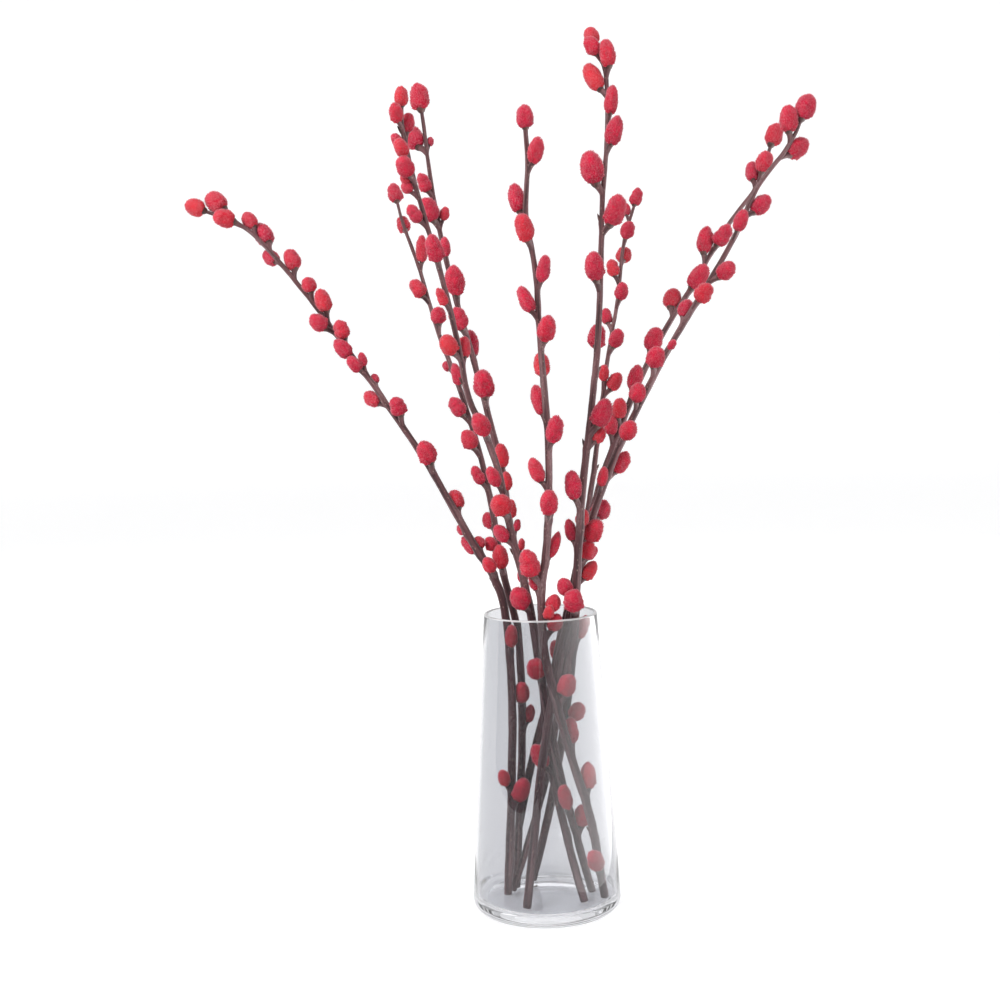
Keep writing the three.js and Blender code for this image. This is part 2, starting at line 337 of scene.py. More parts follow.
class Route:
    """A smooth line through a stem's points, read by distance from its foot."""

    STEPS = 24  # samples between two points

    def __init__(self, points):
        knots = [Vector(p) for p in points]
        knots = [2 * knots[0] - knots[1], *knots, 2 * knots[-1] - knots[-2]]
        self.points = []
        for i in range(1, len(knots) - 2):
            self.points += self.span(*knots[i - 1 : i + 3])
        self.points.append(knots[-2])
        self.far = [0.0]
        for a, b in zip(self.points, self.points[1:]):
            self.far.append(self.far[-1] + (b - a).length)
        self.length = self.far[-1]

    def span(self, p0, p1, p2, p3):
        # Centripetal: the spacing is the square root of the distance between points.
        d0, d1, d2 = (math.sqrt((b - a).length) for a, b in ((p0, p1), (p1, p2), (p2, p3)))
        start = ((p1 - p0) / d0 - (p2 - p0) / (d0 + d1) + (p2 - p1) / d1) * d1
        end = ((p2 - p1) / d1 - (p3 - p1) / (d1 + d2) + (p3 - p2) / d2) * d1
        second = 3 * (p2 - p1) - 2 * start - end
        third = 2 * (p1 - p2) + start + end
        shares = (k / self.STEPS for k in range(self.STEPS))
        return [p1 + start * t + second * t * t + third * t**3 for t in shares]

    def at(self, distance):
        """The point and the direction at a distance from the foot."""
        distance = min(max(distance, 0.0), self.length)
        low, high = 0, len(self.far) - 1
        while high - low > 1:
            middle = (low + high) // 2
            if self.far[middle] <= distance:
                low = middle
            else:
                high = middle
        share = (distance - self.far[low]) / (self.far[high] - self.far[low])
        a = self.points[max(low - 1, 0)]
        b = self.points[min(high + 1, len(self.points) - 1)]
        return self.points[low].lerp(self.points[high], share), (b - a).normalized()

    def distance_at(self, height):
        """Distance from the foot at which the stem reaches a height. Every stem climbs."""
        low, high = 0.0, self.length
        for _ in range(24):
            middle = (low + high) / 2
            if self.at(middle)[0].z < height:
                low = middle
            else:
                high = middle
        return low


class Stem:
    """One stem's route, thickness and the places of its catkins, in metres."""

    def __init__(self, number, row):
        self.number = number
        self.route = Route([[c * MM for c in point] for point in row["route"]])
        self.foot_radius, self.tip_radius = (d / 2 * MM for d in row["diameters"])
        self.tip = [size * MM for size in row["tip"]]
        self.catkins = [(z * MM, b, l * MM, w * MM) for z, b, l, w in row["catkins"]]

    def radius(self, distance):
        taper = max(0.0, (distance / self.route.length - EVEN) / (1 - EVEN))
        return self.foot_radius + (self.tip_radius - self.foot_radius) * taper

    def outward(self, distance, bearing):
        """The direction across the stem that points to a bearing."""
        along = self.route.at(distance)[1]
        angle = math.radians(bearing)
        side = Vector((math.cos(angle), math.sin(angle), 0))
        return (side - along * side.dot(along)).normalized()

    def side_catkin(self, catkin):
        """Distance along the stem, outward direction, centre and axis of a side catkin."""
        height, bearing, length, width = catkin
        props = settings().catkins
        distance = self.route.distance_at(height)
        point, along = self.route.at(distance)
        out = self.outward(distance, bearing)
        half = Vector((length * math.sin(props.lean), width * math.cos(props.lean))).length / 2
        centre = point + out * (self.radius(distance) + props.gap + half)
        axis = along * math.cos(props.lean) + out * math.sin(props.lean)
        return distance, out, centre, axis

    def tip_catkin(self):
        point, along = self.route.at(self.route.length)
        return point + along * (self.tip[0] / 2 + settings().catkins.gap), along


def stems():
    return [Stem(i + 1, row) for i, row in enumerate(STEMS)]


def sweep(bm, stations, sides, start=0.0, seed=0.0, rough=0.0):
    """Extrudes a ring through stations of point, direction and radius, and caps both ends.
    Each vertex keeps its place on the bark: across the stem in x and y, along it in z."""
    grain = bm.verts.layers.float_vector.get("grain") or bm.verts.layers.float_vector.new("grain")
    point, along, radius = stations[0]
    turn = along.to_track_quat("Z", "X")
    place = Matrix.LocRotScale(point, turn, Vector((radius,) * 3))
    disc = bmesh.ops.create_circle(bm, cap_ends=True, segments=sides, radius=1.0, matrix=place)
    ring = disc["verts"]
    foot = ring[0].link_faces[0]
    edges = list(foot.edges)
    travelled = start
    girth = radius
    rings = []
    last = place
    for i, (point, along, radius) in enumerate(stations):
        if i:
            edges, ring = next_ring(bm, edges)
            turn = (last.to_quaternion() @ UP).rotation_difference(along) @ last.to_quaternion()
            place = Matrix.LocRotScale(point, turn, Vector((radius,) * 3))
            bmesh.ops.transform(bm, matrix=place @ last.inverted(), verts=ring)
            travelled += (point - stations[i - 1][0]).length
            last = place
        inverse = place.inverted()
        for vert in ring:
            flat = inverse @ vert.co
            vert[grain] = (flat.x * girth, flat.y * girth, travelled)
        rings.append((ring, place))
    bmesh.ops.contextual_create(bm, geom=edges)
    if rough:
        for ring, place in rings[1:-1]:
            centre = place.to_translation()
            for vert in ring:
                x, y, z = vert[grain]
                bump = noise.noise((x * 260 + seed, y * 260, z * 90))
                vert.co += (vert.co - centre).normalized() * bump * rough
    return foot


def next_ring(bm, edges):
    """Extrudes an open edge loop, and gives the new loop's edges and vertices."""
    new = bmesh.ops.extrude_edge_only(bm, edges=edges)["geom"]
    ring = [item for item in new if isinstance(item, bmesh.types.BMVert)]
    inside = set(ring)
    edges = [
        item
        for item in new
        if isinstance(item, bmesh.types.BMEdge) and all(v in inside for v in item.verts)
    ]
    return edges, ring


def piece_from(bm, name, materials, smooth=True):
    """Makes a piece at the origin that rides on the root body."""
    mesh = bpy.data.meshes.new(name)
    for face in bm.faces:
        face.smooth = smooth
    bm.to_mesh(mesh)
    bm.free()
    for material in materials:
        mesh.materials.append(material)
    piece = bpy.data.objects.new(name, mesh)
    bpy.context.scene.collection.objects.link(piece)
    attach(piece, "root")
    return piece


# Materials


class Nodes:
    """A small helper for building a material's node tree."""

    def __init__(self, name):
        self.material = bpy.data.materials.new(name)
        self.material.use_nodes = True
        self.tree = self.material.node_tree
        self.tree.nodes.clear()

    def add(self, kind, **values):
        node = self.tree.nodes.new(kind)
        for name, value in values.items():
            setattr(node, name, value)
        return node

    def link(self, source, target):
        self.tree.links.new(source, target)

    def attribute(self, name, output="Fac"):
        return self.add("ShaderNodeAttribute", attribute_name=name).outputs[output]

    def noise(self, vector, scale, detail=3.0, roughness=0.55):
        node = self.add("ShaderNodeTexNoise")
        self.link(vector, node.inputs["Vector"])
        node.inputs["Scale"].default_value = scale
        node.inputs["Detail"].default_value = detail
        node.inputs["Roughness"].default_value = roughness
        return node.outputs["Fac"]

    def stretch(self, vector, scale):
        node = self.add("ShaderNodeMapping", vector_type="POINT")
        self.link(vector, node.inputs["Vector"])
        node.inputs["Scale"].default_value = scale
        return node.outputs["Vector"]

    def remap(self, value, low, high, start=0.0, end=1.0):
        node = self.add("ShaderNodeMapRange")
        self.link(value, node.inputs["Value"])
        names = ("From Min", "From Max", "To Min", "To Max")
        for name, number in zip(names, (low, high, start, end)):
            node.inputs[name].default_value = number
        return node.outputs["Result"]

    def mix(self, factor, first, second, blend="MIX"):
        node = self.add("ShaderNodeMix", data_type="RGBA", blend_type=blend)
        self.put(node.inputs["Factor"], factor)
        self.put(node.inputs[6], first)
        self.put(node.inputs[7], second)
        return node.outputs[2]

    def put(self, socket, value):
        if isinstance(value, bpy.types.NodeSocket):
            self.link(value, socket)
        elif isinstance(value, (int, float)):
            socket.default_value = value
        else:
            socket.default_value = (*value, 1.0)

    def math(self, operation, first, second):
        node = self.add("ShaderNodeMath", operation=operation)
        for socket, value in zip(node.inputs, (first, second)):
            self.put(socket, value)
        return node.outputs[0]

    def bump(self, height, distance, strength=1.0):
        node = self.add("ShaderNodeBump")
        self.link(height, node.inputs["Height"])
        node.inputs["Distance"].default_value = distance
        node.inputs["Strength"].default_value = strength
        return node.outputs["Normal"]

    def shader(self, **values):
        node = self.add("ShaderNodeBsdfPrincipled")
        for name, value in values.items():
            socket = node.inputs[name.replace("_", " ")]
            if isinstance(value, bpy.types.NodeSocket):
                self.link(value, socket)
            elif isinstance(value, tuple) and len(value) == 3 and socket.type == "RGBA":
                socket.default_value = (*value, 1.0)
            else:
                socket.default_value = value
        return node

    def output(self, shader):
        node = self.add("ShaderNodeOutputMaterial")
        self.link(shader, node.inputs["Surface"])
        return self.material


def glass_material():
    props = settings().vase
    nodes = Nodes("vase_glass")
    glass = nodes.shader(
        Base_Color=tuple(props.tint), Roughness=0.0, IOR=GLASS_IOR, Transmission_Weight=1.0
    )
    clear = nodes.add("ShaderNodeBsdfTransparent")
    clear.inputs["Color"].default_value = (*(math.sqrt(c) for c in props.tint), 1.0)
    path = nodes.add("ShaderNodeLightPath")
    mixer = nodes.add("ShaderNodeMixShader")
    nodes.link(path.outputs["Is Shadow Ray"], mixer.inputs[0])
    nodes.link(glass.outputs[0], mixer.inputs[1])
    nodes.link(clear.outputs[0], mixer.inputs[2])
    return nodes.output(mixer.outputs[0])


def rim_highlight_material():
    """The fire-polished lip is painted paler than the wall and half diffuse: a painted highlight
    where the lip would catch the light.
    """
    props = settings().vase
    nodes = Nodes("vase_rim_painted_highlight")
    painted_highlight = tuple(0.55 + 0.4 * c for c in props.tint)
    shader = nodes.shader(
        Base_Color=painted_highlight, Roughness=0.12, IOR=GLASS_IOR, Transmission_Weight=0.5
    )
    return nodes.output(shader.outputs[0])


def bark_material():
    props = settings().bark
    nodes = Nodes("willow_bark")
    place = nodes.attribute("grain", "Vector")
    age = nodes.remap(nodes.attribute("age"), 0.15, 0.75)
    streaks = nodes.noise(nodes.stretch(place, (480, 480, 26)), 1.0, detail=5)
    patches = nodes.noise(nodes.stretch(place, (230, 230, 18)), 1.0, detail=3)
    fine = nodes.noise(nodes.stretch(place, (2400, 2400, 500)), 1.0, detail=2)
    bark = nodes.mix(age, tuple(props.old), tuple(props.young))
    dark = nodes.mix(nodes.remap(streaks, 0.36, 0.6), (0.16, 0.12, 0.15), (1, 1, 1))
    bark = nodes.mix(0.85, bark, dark, "MULTIPLY")
    dusty = nodes.math("MULTIPLY", nodes.remap(patches, 0.48, 0.7), nodes.remap(fine, 0.3, 0.7))
    bark = nodes.mix(nodes.math("MULTIPLY", dusty, 0.75), bark, tuple(props.bloom))
    specks = nodes.add("ShaderNodeTexVoronoi", feature="F1")
    nodes.link(nodes.stretch(place, (420, 420, 190)), specks.inputs["Vector"])
    specks.inputs["Scale"].default_value = 1.0
    lenticels = nodes.remap(specks.outputs["Distance"], 0.1, 0.19, 1.0, 0.0)
    bark = nodes.mix(nodes.math("MULTIPLY", lenticels, 0.55), bark, (0.4, 0.28, 0.22))
    ridges = nodes.math("MULTIPLY", streaks, 0.7)
    height = nodes.math("ADD", ridges, nodes.math("MULTIPLY", fine, 0.3))
    height = nodes.math("ADD", height, nodes.math("MULTIPLY", lenticels, 0.5))
    shader = nodes.shader(
        Base_Color=bark,
        Roughness=nodes.remap(patches, 0.3, 0.7, 0.62, 0.82),
        Normal=nodes.bump(height, 0.35 * MM, 0.8),
        Specular_IOR_Level=0.35,
        Sheen_Weight=0.25,
        Sheen_Roughness=0.5,
        Sheen_Tint=(0.9, 0.75, 0.78),
    )
    return nodes.output(shader.outputs[0])


def cut_wood_material():
    props = settings().bark
    nodes = Nodes("cut_wood")
    place = nodes.attribute("grain", "Vector")
    rings = nodes.add("ShaderNodeTexWave", wave_type="RINGS", rings_direction="Z")
    nodes.link(place, rings.inputs["Vector"])
    rings.inputs["Scale"].default_value = 420
    rings.inputs["Distortion"].default_value = 1.4
    fibre = nodes.noise(nodes.stretch(place, (3000, 3000, 300)), 1.0)
    dark = tuple(0.6 * c for c in props.cut_wood)
    wood = nodes.mix(nodes.math("MULTIPLY", rings.outputs["Fac"], fibre), tuple(props.cut_wood), dark)
    shader = nodes.shader(Base_Color=wood, Roughness=0.8, Normal=nodes.bump(fibre, 0.15 * MM, 0.6))
    return nodes.output(shader.outputs[0])


def scale_material():
    nodes = Nodes("bud_scale")
    place = nodes.attribute("grain", "Vector")
    mottle = nodes.noise(nodes.stretch(place, (700, 700, 260)), 1.0, detail=4)
    brown = nodes.mix(nodes.remap(mottle, 0.35, 0.65), (0.035, 0.014, 0.014), (0.11, 0.045, 0.038))
    shader = nodes.shader(
        Base_Color=brown,
        Roughness=0.5,
        Normal=nodes.bump(mottle, 0.2 * MM, 0.5),
        Specular_IOR_Level=0.4,
    )
    return nodes.output(shader.outputs[0])


def down_material():
    props = settings().catkins
    nodes = Nodes("catkin_down")
    place = nodes.add("ShaderNodeTexCoord").outputs["Object"]
    clumps = nodes.noise(place, 170, detail=2)
    fine = nodes.noise(place, 900, detail=2)
    # rise darkens the down towards each catkin's foot: painted shade under the catkin. The clumps add
    # random tone.
    rise = nodes.math("MULTIPLY", nodes.attribute("rise"), 0.7)
    full = nodes.math("ADD", nodes.remap(clumps, 0.32, 0.68, -0.05, 0.45), rise)
    dye = nodes.mix(full, tuple(props.wine), tuple(props.rose))
    warm = nodes.mix(nodes.math("MULTIPLY", nodes.attribute("tone"), 0.5), dye, (0.76, 0.04, 0.035))
    # The hair ends are painted paler: a painted rim light where the down would be backlit.
    ends = nodes.remap(fine, 0.3, 0.7, 0.25, 0.6)
    painted_highlight = nodes.math("MULTIPLY", nodes.attribute("hair"), ends)
    shader = nodes.shader(
        Base_Color=nodes.mix(painted_highlight, warm, tuple(props.painted_rim_light)),
        Roughness=0.9,
        Specular_IOR_Level=0.1,
        Sheen_Weight=0.75,
        Sheen_Roughness=0.2,
        Sheen_Tint=(1.0, 0.5, 0.56),
        Subsurface_Weight=0.25,
        Subsurface_Radius=(1.0, 0.3, 0.35),
        Subsurface_Scale=1.6 * MM,
    )
    return nodes.output(shader.outputs[0])


# Operators


class WILLOW_OT_stage(bpy.types.Operator):
    """Floor, backdrop, soft studio light and camera"""

    bl_idname = "willow.stage"
    bl_label = "Stage"

    FLOOR_RADIUS = 8.0
    CURVE = 0.35  # length of each step of the curve between floor and wall
    WALL_RISE = 2.4
    WORLD_LIGHT = 0.68
    FLOOR_GLOW = 0.34

    def execute(self, context):
        self.floor()
        self.camera(context)
        self.lights(context)
        return {"FINISHED"}

    def floor(self):
        """A wide round floor that curves up into a low wall far away, so that no edge shows."""
        bm = bmesh.new()
        radius = self.FLOOR_RADIUS
        bmesh.ops.create_circle(bm, cap_ends=True, segments=96, radius=radius)
        far = list(bm.edges)
        for angle in range(10, 91, 10):
            far, ring = next_ring(bm, far)
            steep = math.radians(angle)
            wider = radius + self.CURVE * math.cos(steep)
            bmesh.ops.scale(bm, vec=(wider / radius, wider / radius, 1), verts=ring)
            bmesh.ops.translate(bm, vec=(0, 0, self.CURVE * math.sin(steep)), verts=ring)
            radius = wider
        ring = next_ring(bm, far)[1]
        bmesh.ops.translate(bm, vec=(0, 0, self.WALL_RISE), verts=ring)
        nodes = Nodes("pale_floor")
        place = nodes.add("ShaderNodeTexCoord").outputs["Object"]
        faint = nodes.noise(place, 3.0, detail=2)
        props = settings().stage
        paler = tuple(min(1.0, c * 1.03) for c in props.floor)
        colour = nodes.mix(faint, tuple(props.floor), paler)
        shader = nodes.shader(
            Base_Color=colour,
            Roughness=0.7,
            Specular_IOR_Level=0.2,
            Emission_Color=(1.0, 1.0, 1.0),
            Emission_Strength=self.FLOOR_GLOW,
        )
        mesh = bpy.data.meshes.new("studio_floor")
        for face in bm.faces:
            face.smooth = True
        bm.to_mesh(mesh)
        bm.free()
        mesh.materials.append(nodes.output(shader.outputs[0]))
        floor = bpy.data.objects.new("studio_floor", mesh)
        bpy.context.scene.collection.objects.link(floor)

    def camera(self, context):
        props = settings().stage
        data = bpy.data.cameras.new("camera")
        data.sensor_width = 36
        data.lens = props.lens
        data.clip_end = 100
        camera = bpy.data.objects.new("camera", data)
        tip = Matrix.Rotation(math.pi / 2 - props.look_down, 4, "X")
        roll = Matrix.Rotation(-props.roll, 4, "Z")
        camera.matrix_world = Matrix.Translation(props.camera) @ tip @ roll
        context.scene.collection.objects.link(camera)
        context.scene.camera = camera

    def lights(self, context):
        world = bpy.data.worlds.new("studio")
        world.use_nodes = True
        background = world.node_tree.nodes["Background"]
        background.inputs["Color"].default_value = (1.0, 1.0, 1.0, 1.0)
        background.inputs["Strength"].default_value = self.WORLD_LIGHT
        context.scene.world = world
        context.scene.view_settings.view_transform = "Standard"
        # Light crosses the thick glass many times before it comes out.
        context.scene.cycles.max_bounces = 20
        context.scene.cycles.glossy_bounces = 12
        context.scene.cycles.transmission_bounces = 16
        self.softbox("key_light", place=(-1.3, -1.5, 1.9), size=1.1, power=36)
        self.card(
            "dark_card", bearing=-49, centre=(0.55, 0.3), lean=90, size=(1.0, 1.0), glow=0.03
        )
        self.card(
            "bright_card", bearing=66, centre=(0.58, 0.32), lean=145, size=(1.7, 1.1), glow=6.5
        )
        if settings().stage.fill:
            self.softbox("fill_light", place=(1.7, -0.6, 1.3), size=1.6, power=4)
            self.softbox("back_light", place=(0.3, 1.9, 1.6), size=1.6, power=9)

    def card(self, name, bearing, centre, lean, size, glow):
        """A card that shows only in reflections, so the glass has light and dark sides. It stands
        at a bearing to the right of straight ahead, and its glow fades out across its width."""
        bm = bmesh.new()
        bmesh.ops.create_grid(bm, x_segments=1, y_segments=1, size=0.5)
        bmesh.ops.scale(bm, vec=(*size, 1), verts=bm.verts)
        mesh = bpy.data.meshes.new(name)
        bm.to_mesh(mesh)
        bm.free()
        nodes = Nodes(name)
        across = nodes.add("ShaderNodeSeparateXYZ")
        nodes.link(nodes.add("ShaderNodeTexCoord").outputs["Object"], across.inputs[0])
        strength = nodes.remap(across.outputs["X"], -0.32 * size[0], 0.3 * size[0], 0.0, glow)
        shader = nodes.shader(
            Base_Color=(0.0, 0.0, 0.0),
            Specular_IOR_Level=0.0,
            Emission_Color=(1.0, 1.0, 1.0),
            Emission_Strength=strength,
        )
        mesh.materials.append(nodes.output(shader.outputs[0]))
        card = bpy.data.objects.new(name, mesh)
        around = Matrix.Rotation(math.radians(bearing), 4, "Z")
        away, height = centre
        raised = Matrix.Rotation(math.radians(lean), 4, "X")
        card.matrix_world = around @ Matrix.Translation((0, -away, height)) @ raised
        for ray in ("camera", "diffuse", "transmission", "shadow", "volume_scatter"):
            setattr(card, f"visible_{ray}", False)
        bpy.context.scene.collection.objects.link(card)

    def softbox(self, name, place, size, power):
        data = bpy.data.lights.new(name, "AREA")
        data.shape = "DISK"
        data.size = size
        data.energy = power
        light = bpy.data.objects.new(name, data)
        aim = Vector((0, 0, 0.36)) - Vector(place)
        turn = aim.to_track_quat("-Z", "Y").to_matrix().to_4x4()
        light.matrix_world = Matrix.Translation(place) @ turn
        bpy.context.scene.collection.objects.link(light)


class WILLOW_OT_vase(bpy.types.Operator):
    """Tapered clear glass vase with a thick floor"""

    bl_idname = "willow.vase"
    bl_label = "Vase"

    def outline(self):
        """Radius and height along the glass, from the underside's middle round to the floor's."""
        props = settings().vase
        wide = VASE_HIGH.x
        top = VASE_HIGH.z
        heel = props.heel
        lip = props.wall / 2
        inner_heel = 7 * MM
        points = [(0, 0.9 * MM), (wide - heel - 6 * MM, 0.9 * MM), (wide - heel - 2 * MM, 0)]
        points += self.arc(wide - heel, heel, heel, -90, -4, 8)
        points += self.straight((wide, heel + 2 * MM), (props.rim_radius, top - lip), 8)
        points += self.arc(props.rim_radius - lip, top - lip, lip, 12, 168, 8)
        inside = wide - props.wall
        points += self.straight(
            (props.rim_radius - props.wall, top - lip), (inside, FLOOR_Z + inner_heel), 8
        )
        points += self.arc(inside - inner_heel, FLOOR_Z + inner_heel, inner_heel, 0, -90, 7)
        points.append((0, FLOOR_Z))
        return points

    def arc(self, x, z, radius, start, end, steps):
        angles = [math.radians(start + (end - start) * i / steps) for i in range(steps + 1)]
        return [(x + radius * math.cos(a), z + radius * math.sin(a)) for a in angles]

    def straight(self, start, end, steps):
        return [
            tuple(a + (b - a) * i / steps for a, b in zip(start, end)) for i in range(steps + 1)
        ]

    def execute(self, context):
        bm = bmesh.new()
        verts = [bm.verts.new((r, 0, z)) for r, z in self.outline()]
        edges = [bm.edges.new(pair) for pair in zip(verts, verts[1:])]
        bmesh.ops.spin(
            bm, geom=verts + edges, cent=(0, 0, 0), axis=(0, 0, 1), angle=math.tau,
            steps=settings().vase.sides, use_merge=True,
        )
        bmesh.ops.remove_doubles(bm, verts=bm.verts, dist=0.01 * MM)
        bmesh.ops.recalc_face_normals(bm, faces=bm.faces)
        lip = VASE_HIGH.z - settings().vase.wall / 2
        # Faces of the lip get the rim material, whose painted highlight makes them paler than the
        # wall.
        for face in bm.faces:
            face.material_index = int(face.calc_center_median().z > lip)
        piece = piece_from(bm, "glass_vase", [glass_material(), rim_highlight_material()])
        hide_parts("vase")
        return {"FINISHED"}


class WILLOW_OT_stems(bpy.types.Operator):
    """Barked stems with knuckles, catkin spurs, closed buds and cut feet"""

    bl_idname = "willow.stems"
    bl_label = "Stems"

    SEAT = 0.62  # how far below a catkin's middle its knuckle sits, as a share of its length
    KNUCKLE_REACH = 3.6 * MM
    BUD_KNUCKLE = 0.7  # a bud's knuckle against a catkin's
    MOST_SWELL = 0.3
    ZIGZAG = 0.22  # sideways step at a knuckle, as a share of the radius
    WANDER = 0.22  # slow waver of the whole stem, as a share of the radius
    STILL_FOOT = 30 * MM  # length over which the waver grows from nothing
    WAVER_SEED = 41  # any whole number but 0, which would follow the clock
    BARK_RELIEF = 0.28 * MM
    BARK_EDGE = 0.45 * MM
    SPUR_FOOT = 7.5 * MM  # how far below a catkin its spur leaves the stem
    SPUR_BEND = 5.5 * MM
    SPUR_STEPS = 7
    CUP_STEP = 0.013  # sets the markings of one cup apart from the next
    BUD_SIZE = 2.1 * MM
    CUP_PROFILE = ((-0.35, 0.32), (-0.1, 0.62), (0.25, 0.86), (0.7, 1.0), (1.05, 0.93))
    BUD_PROFILE = ((0, 0.7), (0.9, 1.0), (1.9, 0.85), (2.9, 0.5), (3.5, 0.12))

    def stations(self, stem):
        """Point, direction and radius of each ring from the foot to the tip."""
        props = settings().bark
        route = stem.route
        seats = []
        for catkin in stem.catkins:
            distance, out = stem.side_catkin(catkin)[:2]
            seats.append((distance - self.SEAT * catkin[2], out, 1.0))
        for number, height, bearing in SPUR_BUDS:
            if number == stem.number:
                distance = route.distance_at(height * MM)
                seats.append((distance, stem.outward(distance, bearing), self.BUD_KNUCKLE))
        count = round(route.length / props.ring_step)
        rows = []
        for i in range(count + 1):
            distance = route.length * i / count
            point, along = route.at(distance)
            radius = stem.radius(distance)
            swell = 0.0
            push = Vector()
            for seat, out, weight in seats:
                near = math.exp(-(((distance - seat) / self.KNUCKLE_REACH) ** 2)) * weight
                swell += near * props.knuckle
                push += out * near * self.ZIGZAG
            waver = noise.noise_vector(Vector((stem.number * 7.3, 0, distance * 22)))
            waver *= self.WANDER
            waver -= along * waver.dot(along)
            free = min(1.0, distance / self.STILL_FOOT)
            middle = point + (push + waver * free) * radius
            rows.append((middle, along, radius * (1 + min(swell, self.MOST_SWELL))))
        return rows

    def spur(self, bm, stem, catkin):
        """The short brown shoulder that carries a side catkin."""
        length, width = catkin[2:]
        distance, out, centre, axis = stem.side_catkin(catkin)
        base = centre - axis * (length * 0.5 - BURY)
        start = distance - length * 0.5 - self.SPUR_FOOT
        root = stem.route.at(start)[0]
        radius = stem.radius(start)
        bend = stem.route.at(start + self.SPUR_BEND)[0] + out * radius * 0.75
        rows = []
        for i in range(self.SPUR_STEPS + 1):
            t = i / self.SPUR_STEPS
            point = root * (1 - t) ** 2 + bend * 2 * t * (1 - t) + base * t * t
            heading = ((bend - root) * (1 - t) + (base - bend) * t).normalized()
            neck = radius * 0.8 * (1 - t) + width * 0.19 * t
            rows.append((point, heading, neck))
        sweep(bm, rows, 9, start=start)
        return base, axis

    def cup(self, bm, base, axis, width, start):
        """Brown bud scales that hold the foot of a catkin."""
        reach = width * 0.24
        rows = []
        for rise, girth in self.CUP_PROFILE:
            rows.append((base + axis * reach * (rise - 0.55), axis, reach * girth))
        sweep(bm, rows, 10, start=start)

    def bud(self, bm, stem, height, bearing):
        """A closed bud, pressed against the stem and pointing to its tip."""
        distance = stem.route.distance_at(height * MM)
        point, along = stem.route.at(distance)
        out = stem.outward(distance, bearing)
        radius = stem.radius(distance)
        heading = (along * 0.92 + out * 0.38).normalized()
        root = point + out * radius * 0.55
        size = self.BUD_SIZE
        rows = []
        for rise, girth in self.BUD_PROFILE:
            rows.append((root + heading * size * rise, heading, size * girth * 0.62))
        sweep(bm, rows, 8, start=distance)

    def cut_foot(self, bm, foot):
        """Sets the pale wood a little inside the bark's edge."""
        bmesh.ops.inset_region(bm, faces=[foot], thickness=self.BARK_EDGE, depth=0.0)
        foot.material_index = 1

    def execute(self, context):
        bark, wood, scale = bark_material(), cut_wood_material(), scale_material()
        props = settings().bark
        noise.seed_set(self.WAVER_SEED)
        for stem in stems():
            bm = bmesh.new()
            stations = self.stations(stem)
            seed = stem.number * 10
            foot = sweep(bm, stations, props.sides, seed=seed, rough=self.BARK_RELIEF)
            bmesh.ops.recalc_face_normals(bm, faces=bm.faces)
            self.cut_foot(bm, foot)
            seats = [(*self.spur(bm, stem, catkin), catkin[3]) for catkin in stem.catkins]
            bark_faces = set(bm.faces)
            centre, axis = stem.tip_catkin()
            seats.append((centre - axis * (stem.tip[0] / 2 - BURY), axis, stem.tip[1]))
            for i, (base, axis, width) in enumerate(seats):
                self.cup(bm, base, axis, width, start=i * self.CUP_STEP)
            for number, height, bearing in SPUR_BUDS:
                if number == stem.number:
                    self.bud(bm, stem, height, bearing)
            for face in bm.faces:
                if face not in bark_faces:
                    face.material_index = 2
            bmesh.ops.recalc_face_normals(bm, faces=bm.faces)
            self.mark_age(bm, stem)
            node = f"stem_{stem.number}"
            piece = piece_from(bm, f"{node}_bark", [bark, wood, scale])
            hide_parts(node)
        return {"FINISHED"}

    def mark_age(self, bm, stem):
        """Marks each vertex with its share of the stem's length, from old wood to young."""
        age = bm.verts.layers.float.new("age")
        grain = bm.verts.layers.float_vector["grain"]
        for vert in bm.verts:
            vert[age] = vert[grain].z / stem.route.length


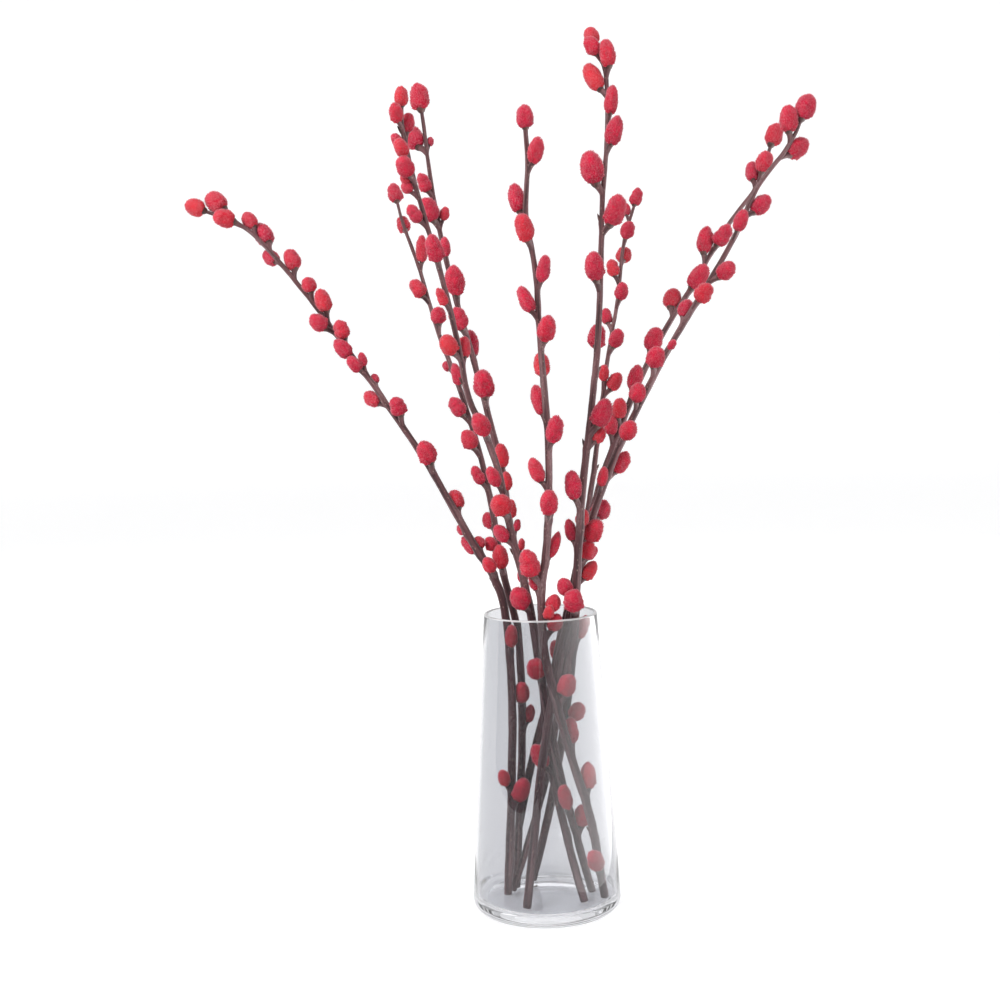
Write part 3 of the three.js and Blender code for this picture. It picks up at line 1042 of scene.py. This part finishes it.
class WILLOW_OT_catkins(bpy.types.Operator):
    """Downy red catkins: one at each tip and the rest along the stems"""

    bl_idname = "willow.catkins"
    bl_label = "Catkins"

    KINDS = 9  # different shapes, each used at many sizes and turns
    FULL_LENGTH = 20 * MM
    FULL_WIDTH = 13.5 * MM
    SIDE_ROOM = 0.5 * MM  # left for the hairs at the sides and the ends
    END_ROOM = 0.4 * MM
    HAIRY = 3  # one face in this many grows a hair

    def shape(self, seed):
        """A full-sized egg along +Z with soft lumps, covered in short silky hairs."""
        chance = random.Random(seed)
        bm = bmesh.new()
        bmesh.ops.create_icosphere(bm, subdivisions=5, radius=1.0)
        offset = Vector((seed * 3.7, 0, 0))
        lump = chance.uniform(0.07, 0.14)
        waist = chance.choice((0.0, 0.0, 0.06, 0.16))
        bend = chance.uniform(-0.08, 0.12)
        tufts = [self.tuft(chance) for _ in range(chance.choice((1, 2, 3)))]
        for vert in bm.verts:
            x, y, z = vert.co
            # Blunt ends: the sides stay full for longer than a ball's do.
            side = math.hypot(x, y)
            full = (1 - abs(z) ** 2.2) ** 0.48 / side if side > 0.02 else 1.0
            full *= 1 - 0.1 * z - waist * math.exp(-((z - 0.15) ** 2) / 0.05)
            swell = 1 + lump * noise.noise(vert.co * 1.5 + offset)
            swell += 0.05 * noise.noise(vert.co * 3.3 + offset)
            for heading, reach in tufts:
                swell += reach * math.exp(-(vert.co - heading).length_squared / 0.022)
            vert.co = Vector((x * full * swell + bend * z * z, y * full * swell, z * 0.97 * swell))
        across = self.FULL_WIDTH / 2 - self.SIDE_ROOM
        up = self.FULL_LENGTH / 2 - self.END_ROOM
        bmesh.ops.scale(bm, vec=(across, across, up), verts=bm.verts)
        bm.normal_update()
        self.hairs(bm, chance)
        mesh = bpy.data.meshes.new(f"catkin_shape_{seed}")
        bm.to_mesh(mesh)
        bm.free()
        return mesh

    def tuft(self, chance):
        """A ragged corner of down near a catkin's foot: its direction and how far it stands out."""
        angle = chance.uniform(0, math.tau)
        heading = Vector((math.cos(angle), math.sin(angle), chance.uniform(-0.95, -0.35)))
        return heading.normalized(), chance.uniform(0.08, 0.22)

    def hairs(self, bm, chance):
        """Draws a share of the faces out into fine hairs that lie towards the tip."""
        for name in ("hair", "rise", "tone"):
            bm.verts.layers.float.new(name)
        hair = bm.verts.layers.float["hair"]
        rise = bm.verts.layers.float["rise"]
        for vert in bm.verts:
            vert[rise] = 0.5 + vert.co.z / self.FULL_LENGTH
        bm.faces.ensure_lookup_table()
        faces = chance.sample(list(bm.faces), len(bm.faces) // self.HAIRY)
        faces.sort(key=lambda face: face.index)
        normals = [(face.normal.copy(), face.calc_center_median().z) for face in faces]
        ends = bmesh.ops.poke(bm, faces=faces)["verts"]
        longest = settings().catkins.hair
        for vert, (normal, height) in zip(ends, normals):
            forward = 0.55 + 0.5 * (0.5 - height / self.FULL_LENGTH)
            stray = Vector([chance.uniform(-0.3, 0.3) for _ in range(3)])
            heading = (normal + UP * forward + stray).normalized()
            vert.co += heading * longest * chance.uniform(0.35, 1.0)
            vert[hair] = 1.0
            vert[rise] = 0.5 + height / self.FULL_LENGTH

    def add(self, bm, kind, centre, axis, length, width, chance):
        """Copies one shape into a piece's mesh at its place, size and turn."""
        before = len(bm.verts)
        bm.from_mesh(kind)
        bm.verts.ensure_lookup_table()
        new = bm.verts[before:]
        tone = bm.verts.layers.float["tone"]
        turn = axis.to_track_quat("Z", "X") @ Quaternion(UP, chance.uniform(0, math.tau))
        size = Vector((width / self.FULL_WIDTH, width / self.FULL_WIDTH, length / self.FULL_LENGTH))
        bmesh.ops.transform(bm, matrix=Matrix.LocRotScale(centre, turn, size), verts=new)
        shade = chance.random() ** 2
        for vert in new:
            vert[tone] = shade

    def finish(self, bm, name, node, material):
        """Turns a mesh into a piece of down that stands for a node."""
        piece = piece_from(bm, name, [material])
        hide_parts(node)

    def execute(self, context):
        material = down_material()
        kinds = [self.shape(seed) for seed in range(1, self.KINDS + 1)]
        chance = random.Random(41)
        for stem in stems():
            prefix = f"catkin_{stem.number}"
            bm = bmesh.new()
            self.add(bm, chance.choice(kinds), *stem.tip_catkin(), *stem.tip, chance)
            self.finish(bm, f"{prefix}_tip_down", f"{prefix}_tip", material)
            lower = bmesh.new()
            for place, catkin in enumerate(stem.catkins, 1):
                centre, axis = stem.side_catkin(catkin)[2:]
                separate = place <= SEPARATE
                bm = bmesh.new() if separate else lower
                self.add(bm, chance.choice(kinds), centre, axis, *catkin[2:], chance)
                if separate:
                    node = f"{prefix}_{place}"
                    self.finish(bm, f"{node}_down", node, material)
            self.finish(lower, f"stem_{stem.number}_down", f"stem_{stem.number}", material)
        for mesh in kinds:
            bpy.data.meshes.remove(mesh)
        return {"FINISHED"}


class WILLOW_PT_panel(bpy.types.Panel):
    """Buttons for each group of pieces, and the sizes and colours below them"""

    bl_label = "Willow Stems"
    bl_space_type = "VIEW_3D"
    bl_region_type = "UI"
    bl_category = "Willow"

    def draw(self, context):
        for operator in OPERATORS:
            self.layout.operator(operator.bl_idname)
        for name in ("stage", "vase", "bark", "catkins"):
            group = getattr(context.scene.willow, name)
            box = self.layout.box()
            box.label(text=name.title())
            for key in group.__annotations__:
                box.prop(group, key)


class WillowSettings(bpy.types.PropertyGroup):
    stage: PointerProperty(type=StageSettings)
    vase: PointerProperty(type=VaseSettings)
    bark: PointerProperty(type=BarkSettings)
    catkins: PointerProperty(type=CatkinSettings)


OPERATORS = (WILLOW_OT_stage, WILLOW_OT_vase, WILLOW_OT_stems, WILLOW_OT_catkins)
GROUPS = (StageSettings, VaseSettings, BarkSettings, CatkinSettings, WillowSettings)
CLASSES = (*GROUPS, *OPERATORS, WILLOW_PT_panel)


def register():
    for item in CLASSES:
        bpy.utils.register_class(item)
    bpy.types.Scene.willow = PointerProperty(type=WillowSettings)


def unregister():
    del bpy.types.Scene.willow
    for item in reversed(CLASSES):
        bpy.utils.unregister_class(item)


def main():
    register()
    bpy.ops.willow.stage()
    bpy.ops.willow.vase()
    bpy.ops.willow.stems()
    bpy.ops.willow.catkins()


if __name__ == "__main__":
    main()
